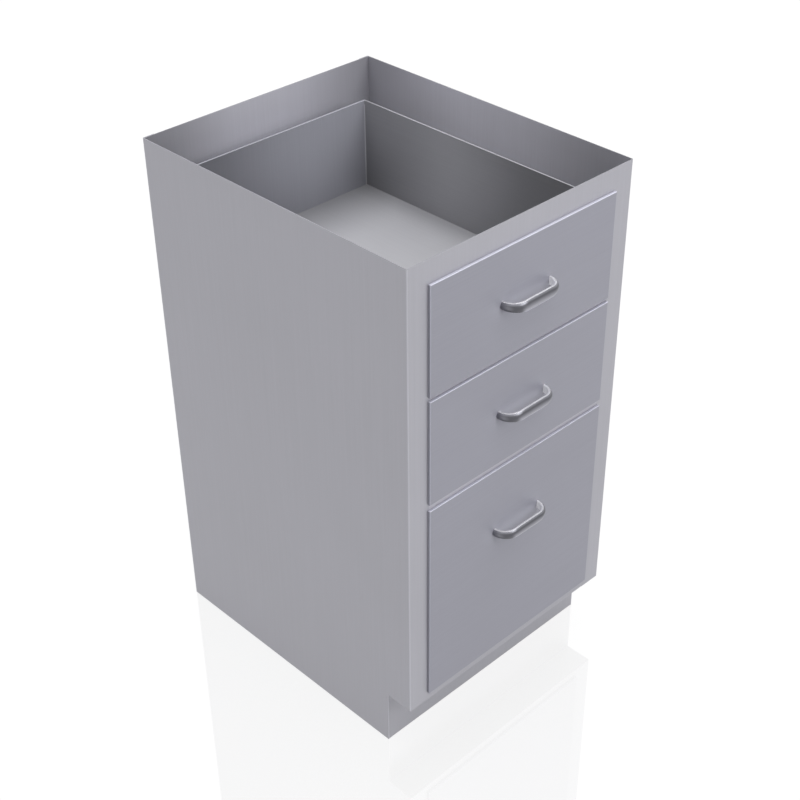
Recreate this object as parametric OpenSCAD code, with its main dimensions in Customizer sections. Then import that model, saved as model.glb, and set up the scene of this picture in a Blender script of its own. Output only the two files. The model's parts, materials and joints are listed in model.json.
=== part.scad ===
// Stainless steel drawer cabinet: an open-topped base cabinet with three drawers on ball bearing slides.
// The drawers open along -Y. X runs across the front, Z is up, and z = 0 is the floor.

/* [Cabinet] */
// Outside width of the cabinet
cabinet_w = 457.2; // [400:0.1:600]
// Depth from the face of the front frame to the outside of the back
cabinet_d = 558.8; // [530:0.1:700]
// Height from the floor to the open top edges
cabinet_h = 895.35; // [800:0.05:1000]
// Thickness of the cabinet's sheet steel
sheet_t = 1.2; // [0.8:0.1:2]
// Width of the flanges that join the sides, the back and the floor
join_flange = 19; // [12:0.5:25]

/* [Front frame] */
// Height of the toe space
toe_h = 101.6; // [80:0.1:140]
// Depth of the toe space
toe_d = 50.8; // [30:0.1:80]
// Width of the frame that shows beside the drawer fronts
stile_show = 38.1; // [25:0.1:50]
// Height of the frame that shows above the upper front
top_rail_show = 37; // [30:0.1:60]
// Height of the frame that shows between the upper and middle fronts
upper_gap = 6.5; // [6:0.1:25]
// Height of the frame that shows between the middle and lower fronts
lower_gap = 11.3; // [6:0.1:25]
// Height of the frame that shows under the lower front
bottom_rail_show = 15.6; // [8:0.1:30]
// Depth of the flanges that the frame turns back into the cabinet
frame_return = 25.4; // [18:0.1:30]
// Width of the lip at the end of those flanges
frame_lip = 10; // [6:0.5:14]

/* [Drawer fronts] */
// Height of the upper drawer front
upper_front_h = 177.3; // [150:0.1:200]
// Height of the middle drawer front
middle_front_h = 179.2; // [150:0.1:200]
// How far a drawer front stands proud of the frame
front_proud = 4.8; // [3.5:0.1:8]
// Thickness of a drawer front from its face to its inner side
front_t = 19; // [16:0.1:22]
// How far a drawer front laps over the frame on each side
front_overlap = 3; // [2:0.1:5]
// Clearance round the inner pan of a drawer front in its opening
opening_clear = 1.5; // [1:0.1:2]
// Clearance between the back of a drawer front's lap and the frame
lap_clear = 0.3; // [0.3:0.1:1]

/* [Drawer boxes] */
// Thickness of the drawers' sheet steel
drawer_t = 1; // [0.8:0.1:1.5]
// Distance of a box's rim below the top of its front
rim_drop = 10; // [7:0.1:20]
// Distance of a box's underside above the bottom of its front
box_lift = 14.9; // [7:0.1:20]
// Space between a closed box and the outside of the back
rear_space = 47.9; // [35:0.1:60]
// Height of the folded hem along a box's rim
hem_h = 6; // [4:0.5:10]
// Width of the tabs that join a box to its front
box_tab = 12; // [8:0.5:16]

/* [Slides] */
// Length of a slide
slide_l = 457.2; // [400:0.1:560]
// Thickness of a slide, from the cabinet's uprights to the drawer box
slide_w = 12.7; // [12.5:0.1:14]
// Height of a slide
slide_h = 45.7; // [44:0.1:50]
// How far a drawer opens
slide_travel = 457.2; // [300:0.1:470]
// Height of a slide's middle above the box's underside
slide_lift = 50; // [35:0.5:70]
// Sheet thickness of the slide members
slide_t = 1.2; // [1:0.1:1.3]
// Radius of a slide's balls
ball_r = 1.6; // [1.4:0.1:1.7]
// Number of balls in one raceway
balls_per_row = 8; // [4:1:9]
// Length of a ball cage
cage_l = 200; // [150:1:210]
// Width of the uprights that carry the slides
upright_w = 32; // [24:1:40]

/* [Pulls] */
// Distance between the two screws of a pull
pull_centres = 101.6; // [76:0.1:128]
// Height of a pull's band between its bends
pull_h = 18; // [14:0.1:20]
// Height of a pull's band at its feet
pull_foot_h = 12.6; // [10:0.1:14]
// How far a pull stands out from its drawer front
pull_projection = 28.5; // [26:0.1:36]
// Thickness of the band along its upper and lower rims
pull_rim_t = 3; // [2.5:0.1:4]
// How far the band's outer face bulges between its rims
pull_crown = 3.5; // [3:0.1:4]
// Distance of the lower drawer's pull below the top of its front
lower_pull_drop = 119; // [80:1:180]

/* [Levelling] */
// Distance of the levelling screws from the walls of their corner
leveller_inset = 32; // [30:0.5:36]
// Radius of a levelling screw
leveller_r = 5; // [4:0.1:6]
// Height of the corner gussets above the floor
gusset_z = 38; // [30:1:60]
// Thickness of the corner gussets
gusset_t = 3; // [2:0.1:4]
// Length of a corner gusset along each wall
gusset_l = 90; // [85:1:110]

/* [Hidden] */
$fn = 48;

// Overrun of every cut past the face that it breaks through
cut = 1;

// Small sizes of the sheet metal
foot_w = 12;
rail_lip = 11;
bottom_rail_lip = 12;
toe_flange = 20;
floor_flange = 15;
tab_lap = 15;
tab_reach = 20;
tab_inset = 3;
hem_t = 1.2;

// Small sizes of the slides
run_clear = 0.3;
cage_t = 0.5;
flange_gap = 1.5;
lip_t = 1.2;
cabinet_lip_h = 2;
middle_lip_h = 1;
drawer_lip_h = 1.1;
cage_reach = 1.9;
slide_setback = 1;
slide_rear_clear = 10;
bumper_l = 5;
bumper_h = 30;
upright_front_gap = 15;
upright_rear_inset = 12;
upright_margin = 20;
ball_end = 16;

// Small sizes of the fasteners
fastener_clear = 0.1;
hole_clear = 0.25;
slide_screw_r = 2;
slide_screw_head_r = 3.8;
slide_screw_head_h = 2;
slide_screw_end = 6;
pull_screw_r = 2;
pull_screw_head_r = 4;
pull_screw_head_h = 2.6;
pull_screw_bite = 6;
pull_screw_relief = 1;
pull_leg_shift = 0.3;
pull_taper_run = 3;
leveller_head_r = 9;
leveller_head_h = 6.4;
leveller_end = 22;
leveller_slot_w = 1.6;
leveller_slot_d = 2.5;
leveller_clear = 0.3;
nut_clear = 0.15;
nut_r = 9.8;
nut_h = 8;

// Planes of the cabinet, which is never less deep than its slides: the pulls stand in front of it,
// and the middle of the whole depth is y = 0
slide_depth = front_t - front_proud + slide_setback + slide_l + slide_rear_clear + 2 * sheet_t;
body_d = max(cabinet_d, slide_depth);
total_d = body_d + front_proud + pull_projection;
back_y = total_d / 2;
frame_y = back_y - body_d;
face_y = frame_y - front_proud;
toe_y = frame_y + toe_d;
back_in = back_y - 2 * sheet_t;
side_x = cabinet_w / 2;
side_in = side_x - sheet_t;
floor_z = toe_h + sheet_t;

// The openings of the front frame, and the heights of the fronts that lap over them
opening_x = side_x - stile_show - front_overlap;
upper_top = cabinet_h - top_rail_show;
upper_bottom = upper_top - upper_front_h;
middle_top = upper_bottom - upper_gap;
middle_bottom = middle_top - middle_front_h;
lower_top = middle_bottom - lower_gap;
lower_bottom = toe_h + bottom_rail_show;
front_x = opening_x + front_overlap;

// The boxes behind the fronts, which reach at least as far back as their slides
liner_y = face_y + front_t;
box_x = opening_x - slide_w;
slide_y = liner_y + slide_setback;
slide_end = slide_y + slide_l;
box_end = max(back_y - rear_space, slide_end);

// The slides: members side by side across their thickness, and balls between their flanges
moving_l = slide_l - bumper_l - run_clear;
cabinet_web_x = opening_x - slide_t;
outer_cage_x = cabinet_web_x - run_clear - cage_t;
middle_web_x = outer_cage_x - run_clear - slide_t;
inner_cage_x = middle_web_x - run_clear - cage_t;
flange_x = box_x + flange_gap;
drawer_flange_end = inner_cage_x - run_clear;
outer_ball_z = slide_h / 2 - slide_t - run_clear - ball_r;
middle_half = outer_ball_z - ball_r - run_clear;
inner_ball_z = middle_half - slide_t - run_clear - ball_r;
drawer_half = inner_ball_z - ball_r - run_clear;
outer_ball_x = (flange_x + lip_t + outer_cage_x) / 2;
inner_ball_x = (flange_x + lip_t + drawer_flange_end - lip_t) / 2;
cage_y = slide_y + moving_l / 2 - cage_l / 2;
ball_pitch = (cage_l - 2 * ball_end) / (balls_per_row - 1);

// The uprights, behind the stiles and before the slides' rear ends
front_upright_y = frame_y + frame_return + upright_front_gap;
rear_upright_y = slide_end - upright_rear_inset - upright_w;
upright_top = upper_bottom + box_lift + slide_lift + slide_h / 2 + upright_margin;
slide_heights = [
    upper_bottom + box_lift + slide_lift,
    middle_bottom + box_lift + slide_lift,
    lower_bottom + box_lift + slide_lift
];
upright_centres = [front_upright_y + upright_w / 2, rear_upright_y + upright_w / 2];

// The pulls
pull_inner_r = pull_projection - pull_rim_t - pull_crown;
pull_half = pull_centres / 2 + pull_leg_shift - pull_inner_r - (pull_rim_t + pull_crown) / 2;
pull_end_x = pull_half + pull_projection;
pull_taper_l = pull_projection + pull_taper_run;
pull_apex = pull_foot_h / 2 + (pull_h - pull_foot_h) / 2 * pull_end_x / pull_taper_l;
crown_r = (pow(pull_h / 2, 2) + pow(pull_crown, 2)) / (2 * pull_crown);
pull_heights = [
    (upper_top + upper_bottom) / 2,
    (middle_top + middle_bottom) / 2,
    lower_top - lower_pull_drop
];

// Corners that the gussets stand in: x, y and the way that each leg runs from the corner
corners = [
    [-side_in + sheet_t, toe_y + sheet_t, 1, 1],
    [side_in - sheet_t, toe_y + sheet_t, -1, 1],
    [-side_in, back_in, 1, -1],
    [side_in, back_in, -1, -1]
];

// A block between two corner points
module block(low, high) {
    translate(low)
        cube(high - low);
}

// The same piece on the left, on the right, or on both sides
module on_side(side) {
    if (side == "right")
        children();
    else
        mirror([1, 0, 0])
            children();
}

module on_both_sides() {
    on_side("left")
        children();
    on_side("right")
        children();
}

// Right-hand side panel: skin with the toe notch, front stile with its return, rear and floor flanges
module side_panel() {
    difference() {
        block([side_in, frame_y, 0], [side_x, back_y, cabinet_h]);
        block([side_in - cut, frame_y - cut, -cut], [side_x + cut, toe_y, toe_h]);
    }
    block([opening_x, frame_y, toe_h], [side_x, frame_y + sheet_t, cabinet_h]);
    block(
        [opening_x, frame_y, floor_z],
        [opening_x + sheet_t, frame_y + frame_return, upper_top - front_overlap]
    );
    block(
        [opening_x, frame_y + frame_return - sheet_t, floor_z],
        [opening_x + frame_lip, frame_y + frame_return, upper_top - front_overlap]
    );
    block([side_in - join_flange, back_y - sheet_t, 0], [side_x, back_y, cabinet_h]);
    block(
        [side_in - join_flange, toe_y + sheet_t + toe_flange, 0],
        [side_x, back_in, sheet_t]
    );
}

module left_side_panel() {
    color("silver")
        on_side("left")
            side_panel();
}

module right_side_panel() {
    color("silver")
        on_side("right")
            side_panel();
}

// Back sheet between the sides, with a flange that stands on the floor
module back_panel() {
    color("silver") {
        block([-side_in, back_in, 0], [side_in, back_y - sheet_t, cabinet_h]);
        block(
            [-side_in + join_flange, back_in - join_flange, 0],
            [side_in - join_flange, back_in, sheet_t]
        );
    }
}

// Rail above the upper front, with tabs welded behind the stiles
module top_front_rail() {
    rail_z = upper_top - front_overlap;
    color("lightgray") {
        block([-opening_x, frame_y, rail_z], [opening_x, frame_y + sheet_t, cabinet_h]);
        block(
            [-opening_x, frame_y, rail_z],
            [opening_x, frame_y + frame_return, rail_z + sheet_t]
        );
        block(
            [-opening_x, frame_y + frame_return - sheet_t, rail_z],
            [opening_x, frame_y + frame_return, rail_z + rail_lip]
        );
        on_both_sides()
            block(
                [opening_x - tab_lap, frame_y + sheet_t, rail_z + tab_inset],
                [opening_x + tab_reach, frame_y + 2 * sheet_t, cabinet_h - tab_inset]
            );
    }
}

// Channel across the frame between two drawer openings
module divider_rail(low, high) {
    color("lightgray") {
        block([-opening_x, frame_y, low], [opening_x, frame_y + sheet_t, high]);
        for (z = [low, high - sheet_t])
            block([-opening_x, frame_y, z], [opening_x, frame_y + frame_return, z + sheet_t]);
        on_both_sides()
            block([opening_x - sheet_t, frame_y, low], [opening_x, frame_y + frame_return, high]);
    }
}

module upper_divider_rail() {
    divider_rail(middle_top - front_overlap, upper_bottom + front_overlap);
}

module lower_divider_rail() {
    divider_rail(lower_top - front_overlap, middle_bottom + front_overlap);
}

// Floor of the cabinet, turned up into the bottom rail and down along the sides
module bottom_panel() {
    rail_top = lower_bottom + front_overlap;
    color("lightgray") {
        block([-side_in, frame_y + sheet_t, toe_h], [side_in, back_in, floor_z]);
        block([-opening_x, frame_y, toe_h], [opening_x, frame_y + sheet_t, rail_top]);
        block(
            [-opening_x, frame_y, rail_top - sheet_t],
            [opening_x, frame_y + bottom_rail_lip, rail_top]
        );
        on_both_sides()
            block(
                [side_in - sheet_t, toe_y + sheet_t + toe_flange, toe_h - floor_flange],
                [side_in, back_in, toe_h]
            );
    }
}

// Board behind the toe space, flanged at its top, bottom and ends
module toe_board() {
    flange_end = toe_y + sheet_t + toe_flange;
    color("lightgray") {
        block([-side_in, toe_y, 0], [side_in, toe_y + sheet_t, toe_h]);
        for (z = [0, toe_h - sheet_t])
            block([-side_in, toe_y, z], [side_in, flange_end, z + sheet_t]);
        on_both_sides()
            block([side_in - sheet_t, toe_y, 0], [side_in, flange_end, toe_h]);
    }
}

// Countersunk screw that holds a slide to an upright, grown by a clearance for its hole
module slide_screw(grow, reach) {
    translate([cabinet_web_x, 0, 0])
        rotate([0, 90, 0]) {
            cylinder(
                h = slide_screw_head_h,
                r1 = slide_screw_head_r + grow,
                r2 = slide_screw_r + grow
            );
            cylinder(h = reach, r = slide_screw_r + grow);
        }
}

// Hat channel that stands against a side panel and carries the slides
module upright(y) {
    reach = slide_t + sheet_t + slide_screw_end;
    color("gray")
        difference() {
            union() {
                block([opening_x, y, floor_z], [opening_x + sheet_t, y + upright_w, upright_top]);
                for (leg_y = [y, y + upright_w - sheet_t])
                    block([opening_x, leg_y, floor_z], [side_in, leg_y + sheet_t, upright_top]);
                block([side_in - sheet_t, y - foot_w, floor_z], [side_in, y + sheet_t, upright_top]);
                block(
                    [side_in - sheet_t, y + upright_w - sheet_t, floor_z],
                    [side_in, y + upright_w + foot_w, upright_top]
                );
            }
            for (z = slide_heights)
                translate([0, y + upright_w / 2, z])
                    slide_screw(fastener_clear, reach);
        }
}

module left_front_upright() {
    on_side("left")
        upright(front_upright_y);
}

module right_front_upright() {
    on_side("right")
        upright(front_upright_y);
}

module left_rear_upright() {
    on_side("left")
        upright(rear_upright_y);
}

module right_rear_upright() {
    on_side("right")
        upright(rear_upright_y);
}

// Triangular plates across the four bottom corners, each with a hole for a levelling screw
module corner_gussets() {
    color("gray")
        for (c = corners)
            translate([c[0], c[1], gusset_z])
                difference() {
                    linear_extrude(gusset_t)
                        polygon([[0, 0], [c[2] * gusset_l, 0], [0, c[3] * gusset_l]]);
                    translate([c[2] * leveller_inset, c[3] * leveller_inset, -cut])
                        cylinder(h = gusset_t + 2 * cut, r = leveller_r + leveller_clear);
                }
}

// Hexagon-headed screws that stand on the floor, slotted at the top
module levelling_screws() {
    screw_top = gusset_z + gusset_t + leveller_end;
    color("dimgray")
        for (c = corners)
            translate([c[0] + c[2] * leveller_inset, c[1] + c[3] * leveller_inset, 0])
                difference() {
                    union() {
                        cylinder(h = leveller_head_h, r = leveller_head_r, $fn = 6);
                        cylinder(h = screw_top, r = leveller_r);
                    }
                    block(
                        [-leveller_slot_w / 2, -leveller_r - cut, screw_top - leveller_slot_d],
                        [leveller_slot_w / 2, leveller_r + cut, screw_top + cut]
                    );
                }
}

// Nuts under the gussets
module levelling_nuts() {
    color("dimgray")
        for (c = corners)
            translate([
                c[0] + c[2] * leveller_inset,
                c[1] + c[3] * leveller_inset,
                gusset_z - nut_h
            ])
                difference() {
                    cylinder(h = nut_h, r = nut_r, $fn = 6);
                    translate([0, 0, -cut])
                        cylinder(h = nut_h + 2 * cut, r = leveller_r + nut_clear);
                }
}

// The screws of all six slides
module slide_screws() {
    color("dimgray")
        on_both_sides()
            for (y = upright_centres)
                for (z = slide_heights)
                    translate([0, y, z])
                        slide_screw(0, slide_t + sheet_t + slide_screw_end);
}

// Rubber blocks at the rear end of each slide, which cushion the closing drawer
module slide_bumpers() {
    color("black")
        on_both_sides()
            for (z = slide_heights)
                block(
                    [flange_x, slide_end - bumper_l, z - bumper_h / 2],
                    [cabinet_web_x, slide_end, z + bumper_h / 2]
                );
}

// Outer pan of a drawer front: face and the returns that lap over the frame
module front_panel(low, high, pull_z) {
    color("lightsteelblue")
        difference() {
            block([-front_x, face_y, low], [front_x, frame_y - lap_clear, high]);
            block(
                [-front_x + sheet_t, face_y + sheet_t, low + sheet_t],
                [front_x - sheet_t, frame_y + cut, high - sheet_t]
            );
            pull_holes(pull_z);
        }
}

// Inner pan of a drawer front: a tray that fits the opening, with a lip that closes the outer pan
module front_liner(low, high, pull_z) {
    liner_x = opening_x - opening_clear;
    edge = front_overlap + opening_clear;
    lip_y = frame_y - lap_clear;
    color("silver")
        difference() {
            union() {
                block([-liner_x, face_y + sheet_t, low + edge], [liner_x, liner_y, high - edge]);
                block(
                    [-front_x + sheet_t, lip_y - drawer_t, low + sheet_t],
                    [front_x - sheet_t, lip_y, high - sheet_t]
                );
            }
            block(
                [-liner_x + drawer_t, face_y, low + edge + drawer_t],
                [liner_x - drawer_t, liner_y - drawer_t, high - edge - drawer_t]
            );
            pull_holes(pull_z);
        }
}

// Sound-deadening board that fills a drawer front
module front_core(low, high, pull_z) {
    core_x = opening_x - opening_clear - drawer_t;
    edge = front_overlap + opening_clear + drawer_t;
    color("tan")
        difference() {
            block([-core_x, face_y + sheet_t, low + edge], [core_x, liner_y - drawer_t, high - edge]);
            pull_holes(pull_z);
        }
}

// The two screw holes of a pull, right through a drawer front
module pull_holes(pull_z) {
    for (side = [-1, 1])
        translate([side * pull_centres / 2, liner_y + cut, pull_z])
            rotate([90, 0, 0])
                cylinder(h = front_t + 2 * cut, r = pull_screw_r + hole_clear);
}

// Floor and sides of a drawer box in one piece, with hemmed rims and tabs to the front
module drawer_box(low, high) {
    box_low = low + box_lift;
    rim = high - rim_drop;
    color("gainsboro") {
        block([-box_x, liner_y, box_low], [box_x, box_end, box_low + drawer_t]);
        on_both_sides() {
            block([box_x - drawer_t, liner_y, box_low], [box_x, box_end, rim]);
            block([box_x - drawer_t, liner_y, rim - hem_h], [box_x + hem_t, box_end, rim]);
            block([box_x - box_tab, liner_y, box_low], [box_x, liner_y + drawer_t, rim]);
        }
    }
}

// Back of a drawer box, hemmed along its rim
module drawer_back(low, high) {
    back_low = low + box_lift + drawer_t;
    rim = high - rim_drop;
    inner_x = box_x - drawer_t;
    color("gainsboro") {
        block([-inner_x, box_end - drawer_t, back_low], [inner_x, box_end, rim]);
        block([-inner_x, box_end - drawer_t, rim - hem_h], [inner_x, box_end + hem_t, rim]);
    }
}

// Section of a pull's band: flat inside, two thin rims and a bulging outer face
module pull_section() {
    outer_r = pull_inner_r + pull_rim_t;
    translate([pull_inner_r, -pull_h / 2])
        square([pull_rim_t, pull_h]);
    intersection() {
        translate([outer_r + pull_crown - crown_r, 0])
            circle(r = crown_r);
        translate([pull_inner_r, -pull_h / 2])
            square([pull_rim_t + pull_crown + cut, pull_h]);
    }
}

// Outline of a pull seen from the front: its band narrows from just before its bends to its feet
module pull_outline() {
    polygon([
        [-pull_end_x, -pull_foot_h / 2],
        [0, -pull_apex],
        [pull_end_x, -pull_foot_h / 2],
        [pull_end_x, pull_foot_h / 2],
        [0, pull_apex],
        [-pull_end_x, pull_foot_h / 2]
    ]);
}

// Band of a pull: a straight length between two quarter turns that end at the drawer front
module pull_band() {
    translate([-pull_half, 0, 0])
        rotate([90, 0, 90])
            linear_extrude(2 * pull_half)
                mirror([1, 0])
                    pull_section();
    translate([pull_half, 0, 0])
        rotate([0, 0, -90])
            rotate_extrude(angle = 90)
                pull_section();
    translate([-pull_half, 0, 0])
        rotate([0, 0, 180])
            rotate_extrude(angle = 90)
                pull_section();
}

// Bow pull with a blind screw hole in each foot
module pull(pull_z) {
    color("silver")
        translate([0, face_y, pull_z])
            difference() {
                intersection() {
                    pull_band();
                    rotate([90, 0, 0])
                        linear_extrude(pull_projection + cut)
                            pull_outline();
                }
                for (side = [-1, 1])
                    translate([side * pull_centres / 2, cut, 0])
                        rotate([90, 0, 0])
                            cylinder(
                                h = pull_screw_bite + pull_screw_relief + cut,
                                r = pull_screw_r + fastener_clear
                            );
            }
}

// Pan-headed screws from inside the drawer into the pull's feet
module pull_screws(pull_z) {
    color("dimgray")
        for (side = [-1, 1])
            translate([side * pull_centres / 2, liner_y, pull_z])
                rotate([90, 0, 0]) {
                    translate([0, 0, -pull_screw_head_h])
                        cylinder(h = pull_screw_head_h, r = pull_screw_head_r);
                    cylinder(h = front_t + pull_screw_bite, r = pull_screw_r);
                }
}

// Two blocks mirrored above and below the middle of a slide
module above_and_below(low, high) {
    block(low, high);
    block([low[0], low[1], -high[2]], [high[0], high[1], -low[2]]);
}

// Slide member screwed to the uprights: a channel whose flanges hold the outer balls
module cabinet_members(slide_z) {
    flange_z = slide_h / 2 - slide_t;
    color("lightgray")
        on_both_sides()
            difference() {
                translate([0, 0, slide_z]) {
                    block([cabinet_web_x, slide_y, -slide_h / 2], [opening_x, slide_end, slide_h / 2]);
                    above_and_below([flange_x, slide_y, flange_z], [opening_x, slide_end, slide_h / 2]);
                    above_and_below(
                        [flange_x, slide_y, flange_z - cabinet_lip_h],
                        [flange_x + lip_t, slide_end, slide_h / 2]
                    );
                }
                for (y = upright_centres)
                    translate([0, y, slide_z])
                        slide_screw(fastener_clear, slide_t + sheet_t);
            }
}

// Slide member between the other two, with raceways outside and inside its flanges
module middle_members(slide_z) {
    member_end = slide_y + moving_l;
    flange_z = middle_half - slide_t;
    web_end = middle_web_x + slide_t;
    color("silver")
        on_both_sides()
            translate([0, 0, slide_z]) {
                block([middle_web_x, slide_y, -middle_half], [web_end, member_end, middle_half]);
                above_and_below([flange_x, slide_y, flange_z], [web_end, member_end, middle_half]);
                above_and_below(
                    [flange_x, slide_y, flange_z - middle_lip_h],
                    [flange_x + lip_t, member_end, middle_half + middle_lip_h]
                );
            }
}

// Slide member welded to the drawer box
module drawer_members(slide_z) {
    member_end = slide_y + moving_l;
    flange_z = drawer_half - slide_t;
    color("lightgray")
        on_both_sides()
            translate([0, 0, slide_z]) {
                block([box_x, slide_y, -drawer_half], [box_x + slide_t, member_end, drawer_half]);
                above_and_below([box_x, slide_y, flange_z], [drawer_flange_end, member_end, drawer_half]);
                above_and_below(
                    [drawer_flange_end - lip_t, slide_y, flange_z],
                    [drawer_flange_end, member_end, drawer_half + drawer_lip_h]
                );
            }
}

// Places of the balls in one raceway
function ball_places() =
    [for (i = [0 : balls_per_row - 1]) cage_y + ball_end + i * ball_pitch];

// Strip that keeps two rows of balls apart, bent over into both raceways
module ball_cages(slide_z, web_x, reach_x, ball_x, ball_z) {
    strip_z = ball_z - cage_t / 2;
    color("goldenrod")
        on_both_sides()
            translate([0, 0, slide_z])
                difference() {
                    union() {
                        block(
                            [web_x, cage_y, -ball_z - cage_t / 2],
                            [web_x + cage_t, cage_y + cage_l, ball_z + cage_t / 2]
                        );
                        above_and_below(
                            [reach_x, cage_y, strip_z],
                            [web_x + cage_t, cage_y + cage_l, strip_z + cage_t]
                        );
                    }
                    for (y = ball_places())
                        for (side = [-1, 1])
                            translate([ball_x, y, side * ball_z - cage_t])
                                cylinder(h = 2 * cage_t, r = ball_r + fastener_clear);
                }
}

// Two rows of balls in each slide
module balls(slide_z, ball_x, ball_z) {
    color("dimgray")
        on_both_sides()
            for (y = ball_places())
                for (side = [-1, 1])
                    translate([ball_x, y, slide_z + side * ball_z])
                        sphere(r = ball_r);
}

module outer_cages(slide_z) {
    reach_x = flange_x + cage_reach;
    ball_cages(slide_z, outer_cage_x, reach_x, outer_ball_x, outer_ball_z);
}

module inner_cages(slide_z) {
    reach_x = flange_x + run_clear;
    ball_cages(slide_z, inner_cage_x, reach_x, inner_ball_x, inner_ball_z);
}

// One drawer's pieces, by the short name after the drawer's own
module drawer_piece(name, low, high, slide_z, pull_z) {
    if (name == "front_panel") front_panel(low, high, pull_z);
    if (name == "front_liner") front_liner(low, high, pull_z);
    if (name == "front_core") front_core(low, high, pull_z);
    if (name == "drawer_box") drawer_box(low, high);
    if (name == "drawer_back") drawer_back(low, high);
    if (name == "pull") pull(pull_z);
    if (name == "pull_screws") pull_screws(pull_z);
    if (name == "cabinet_members") cabinet_members(slide_z);
    if (name == "middle_members") middle_members(slide_z);
    if (name == "drawer_members") drawer_members(slide_z);
    if (name == "outer_cages") outer_cages(slide_z);
    if (name == "inner_cages") inner_cages(slide_z);
    if (name == "outer_balls") balls(slide_z, outer_ball_x, outer_ball_z);
    if (name == "inner_balls") balls(slide_z, inner_ball_x, inner_ball_z);
}

module upper(name) {
    drawer_piece(name, upper_bottom, upper_top, slide_heights[0], pull_heights[0]);
}

module middle(name) {
    drawer_piece(name, middle_bottom, middle_top, slide_heights[1], pull_heights[1]);
}

module lower(name) {
    drawer_piece(name, lower_bottom, lower_top, slide_heights[2], pull_heights[2]);
}

module upper_front_panel() { upper("front_panel"); }
module upper_front_liner() { upper("front_liner"); }
module upper_front_core() { upper("front_core"); }
module upper_drawer_box() { upper("drawer_box"); }
module upper_drawer_back() { upper("drawer_back"); }
module upper_pull() { upper("pull"); }
module upper_pull_screws() { upper("pull_screws"); }
module upper_cabinet_members() { upper("cabinet_members"); }
module upper_middle_members() { upper("middle_members"); }
module upper_drawer_members() { upper("drawer_members"); }
module upper_outer_cages() { upper("outer_cages"); }
module upper_inner_cages() { upper("inner_cages"); }
module upper_outer_balls() { upper("outer_balls"); }
module upper_inner_balls() { upper("inner_balls"); }
module middle_front_panel() { middle("front_panel"); }
module middle_front_liner() { middle("front_liner"); }
module middle_front_core() { middle("front_core"); }
module middle_drawer_box() { middle("drawer_box"); }
module middle_drawer_back() { middle("drawer_back"); }
module middle_pull() { middle("pull"); }
module middle_pull_screws() { middle("pull_screws"); }
module middle_cabinet_members() { middle("cabinet_members"); }
module middle_middle_members() { middle("middle_members"); }
module middle_drawer_members() { middle("drawer_members"); }
module middle_outer_cages() { middle("outer_cages"); }
module middle_inner_cages() { middle("inner_cages"); }
module middle_outer_balls() { middle("outer_balls"); }
module middle_inner_balls() { middle("inner_balls"); }
module lower_front_panel() { lower("front_panel"); }
module lower_front_liner() { lower("front_liner"); }
module lower_front_core() { lower("front_core"); }
module lower_drawer_box() { lower("drawer_box"); }
module lower_drawer_back() { lower("drawer_back"); }
module lower_pull() { lower("pull"); }
module lower_pull_screws() { lower("pull_screws"); }
module lower_cabinet_members() { lower("cabinet_members"); }
module lower_middle_members() { lower("middle_members"); }
module lower_drawer_members() { lower("drawer_members"); }
module lower_outer_cages() { lower("outer_cages"); }
module lower_inner_cages() { lower("inner_cages"); }
module lower_outer_balls() { lower("outer_balls"); }
module lower_inner_balls() { lower("inner_balls"); }

left_side_panel();
right_side_panel();
back_panel();
top_front_rail();
upper_divider_rail();
lower_divider_rail();
bottom_panel();
toe_board();
left_front_upright();
right_front_upright();
left_rear_upright();
right_rear_upright();
corner_gussets();
levelling_screws();
levelling_nuts();
slide_screws();
slide_bumpers();
upper_front_panel();
upper_front_liner();
upper_front_core();
upper_drawer_box();
upper_drawer_back();
upper_pull();
upper_pull_screws();
upper_cabinet_members();
upper_middle_members();
upper_drawer_members();
upper_outer_cages();
upper_inner_cages();
upper_outer_balls();
upper_inner_balls();
middle_front_panel();
middle_front_liner();
middle_front_core();
middle_drawer_box();
middle_drawer_back();
middle_pull();
middle_pull_screws();
middle_cabinet_members();
middle_middle_members();
middle_drawer_members();
middle_outer_cages();
middle_inner_cages();
middle_outer_balls();
middle_inner_balls();
lower_front_panel();
lower_front_liner();
lower_front_core();
lower_drawer_box();
lower_drawer_back();
lower_pull();
lower_pull_screws();
lower_cabinet_members();
lower_middle_members();
lower_drawer_members();
lower_outer_cages();
lower_inner_cages();
lower_outer_balls();
lower_inner_balls();
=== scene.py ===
# Looks of the stainless steel drawer cabinet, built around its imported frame. All lengths are in metres.
import json
import math

import bmesh
import bpy
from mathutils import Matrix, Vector


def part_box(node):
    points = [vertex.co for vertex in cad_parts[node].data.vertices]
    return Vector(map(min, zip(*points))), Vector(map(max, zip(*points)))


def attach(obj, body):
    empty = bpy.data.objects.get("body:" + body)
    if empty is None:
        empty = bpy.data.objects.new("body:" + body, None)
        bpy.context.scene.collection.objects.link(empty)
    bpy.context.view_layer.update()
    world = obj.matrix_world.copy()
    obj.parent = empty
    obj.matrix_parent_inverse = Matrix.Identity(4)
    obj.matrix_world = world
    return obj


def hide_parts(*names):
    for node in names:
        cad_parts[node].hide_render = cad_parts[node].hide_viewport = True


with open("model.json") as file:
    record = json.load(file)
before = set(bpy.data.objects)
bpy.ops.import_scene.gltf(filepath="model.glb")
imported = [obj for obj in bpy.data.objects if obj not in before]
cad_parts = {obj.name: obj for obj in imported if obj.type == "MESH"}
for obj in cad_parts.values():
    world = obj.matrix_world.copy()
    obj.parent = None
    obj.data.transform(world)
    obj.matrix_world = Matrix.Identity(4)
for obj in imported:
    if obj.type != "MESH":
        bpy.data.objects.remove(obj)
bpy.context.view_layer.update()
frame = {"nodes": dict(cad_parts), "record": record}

DRAWERS = ("upper", "middle", "lower")
X, Y, Z = 0, 1, 2

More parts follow.
